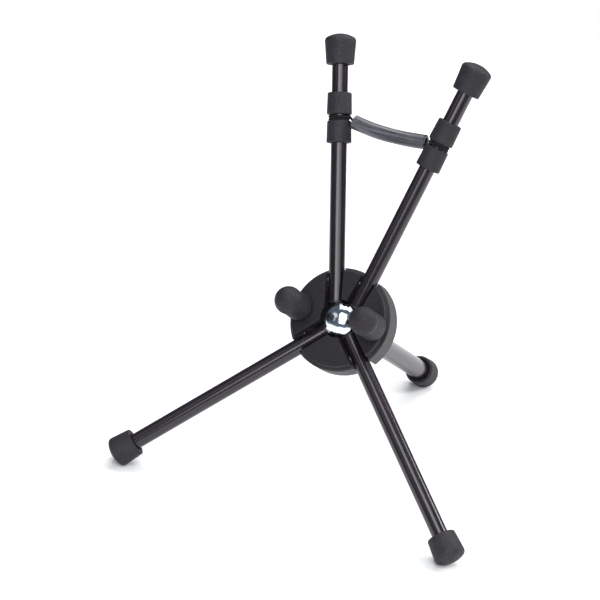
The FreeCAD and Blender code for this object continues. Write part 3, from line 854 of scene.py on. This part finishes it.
def write_hose_coordinates(mesh, rings, count):
    """Store a straightened place for each vertex, so streaks follow the hose."""
    spots = []
    for i in range(2 * rings):
        outside = i < rings
        share = i / (rings - 1) if outside else (2 * rings - 1 - i) / (rings - 1)
        radius = HOSE_RADIUS if outside else HOSE_BORE
        for k in range(count):
            angle = 2 * math.pi * k / count
            spots += [radius * math.cos(angle), radius * math.sin(angle), share * HOSE_STREAK_LENGTH]
    layer = mesh.attributes.new("along", "FLOAT_VECTOR", "POINT")
    layer.data.foreach_set("vector", spots)


def bend_with_hinge(piece):
    """Bake the piece's placement into its mesh."""
    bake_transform(piece)


def elastic_cords():
    """The two wound loops, the lead into the hose, and the core inside it."""
    line = hose_points(41)
    for side, target, body, node in (("left", line[0], "hose_left", "elastic_cord_left"),
                                     ("right", line[-1], "arm_right", "elastic_loop_right")):
        place = ARMS[side]
        local = place["matrix"].inverted() @ target
        towards = math.atan2(local.y, local.x)
        wound = wound_points(place, LOOP_AT[side], LOOP_TURNS, towards)
        if side == "left":
            leaving = wound[0]
            lead = [target.lerp(leaving, i / 14) for i in range(14)]
            wound = lead + wound
        finished("elastic_winding_" + side, braid("winding", wound), Matrix.Identity(4), body,
                 "elastic_cord", node)
    core = finished("elastic_core", braid("core", line), Matrix.Identity(4), None,
                    "elastic_cord", "elastic_cord_right")
    bend_with_hinge(core)


# ---- studio ----

def camera():
    """A long lens, a little from the right and above, slightly rolled."""
    back = Vector((sine(CAMERA_AZIMUTH) * cosine(CAMERA_ELEVATION),
                   -cosine(CAMERA_AZIMUTH) * cosine(CAMERA_ELEVATION), sine(CAMERA_ELEVATION)))
    level = Vector((cosine(CAMERA_AZIMUTH), sine(CAMERA_AZIMUTH), 0))
    turn = Matrix.Rotation(math.radians(CAMERA_ROLL), 3, back)
    right = turn @ level
    up = back.cross(right)
    target = HUB_FACE + right * TARGET_RIGHT + up * TARGET_UP
    data = bpy.data.cameras.new("camera")
    data.lens = CAMERA_LENS
    data.sensor_width = 36
    data.clip_end = 20
    piece = bpy.data.objects.new("camera", data)
    bpy.context.scene.collection.objects.link(piece)
    piece.matrix_world = axes_matrix(right, back, target + back * CAMERA_DISTANCE)
    bpy.context.scene.camera = piece


def softbox(name, azimuth, elevation, distance, width, height, brightness):
    """A rectangular soft light that faces the stand, placed by its direction from it."""
    data = bpy.data.lights.new(name, "AREA")
    data.shape = "RECTANGLE"
    data.size = width
    data.size_y = height
    data.energy = brightness * math.pi * width * height
    piece = bpy.data.objects.new(name, data)
    bpy.context.scene.collection.objects.link(piece)
    direction = Vector((sine(azimuth) * cosine(elevation), -cosine(azimuth) * cosine(elevation),
                        sine(elevation)))
    piece.location = Vector(STUDIO_MIDDLE) + direction * distance
    piece.rotation_euler = direction.to_track_quat("Z", "Y").to_euler()


def studio_world():
    """White where the camera looks past the floor, and a dim cool room all round."""
    world = bpy.data.worlds.new("studio")
    bpy.context.scene.world = world
    world.use_nodes = True
    tree = world.node_tree
    background = tree.nodes["Background"]
    seen = tree.nodes.new("ShaderNodeLightPath").outputs["Is Camera Ray"]
    tree.links.new(between(tree, seen, ROOM, (1, 1, 1)), background.inputs["Color"])


def studio():
    bpy.ops.mesh.primitive_circle_add(vertices=160, radius=FLOOR_RADIUS, fill_type="NGON")
    floor = bpy.context.object
    floor.name = "studio_floor"
    floor.data.materials.append(studio_floor("studio_floor"))
    studio_world()
    softbox("key", 14, 40, 2.2, 1.35, 2.1, 5.0)
    softbox("right_fill", 48, 27, 2.4, 0.8, 1.0, 3.2)
    softbox("right_strip", 68, 16, 2.4, 0.35, 1.1, 2.6)
    softbox("left_fill", -45, 32, 2.4, 1.2, 1.2, 0.65)
    softbox("rim", 125, 33, 2.2, 0.8, 0.8, 14.0)
    softbox("overhead", 190, 66, 2.6, 2.4, 2.0, 4.2)
    bpy.context.scene.view_settings.view_transform = "Standard"


camera()
finish_cad_nodes()
for limb in (*ARMS.values(), *LEGS.values()):
    hinged_tube(limb)
caps_and_feet()
sleeves()
peg_pads()
dome()
hose()
elastic_cords()
studio()
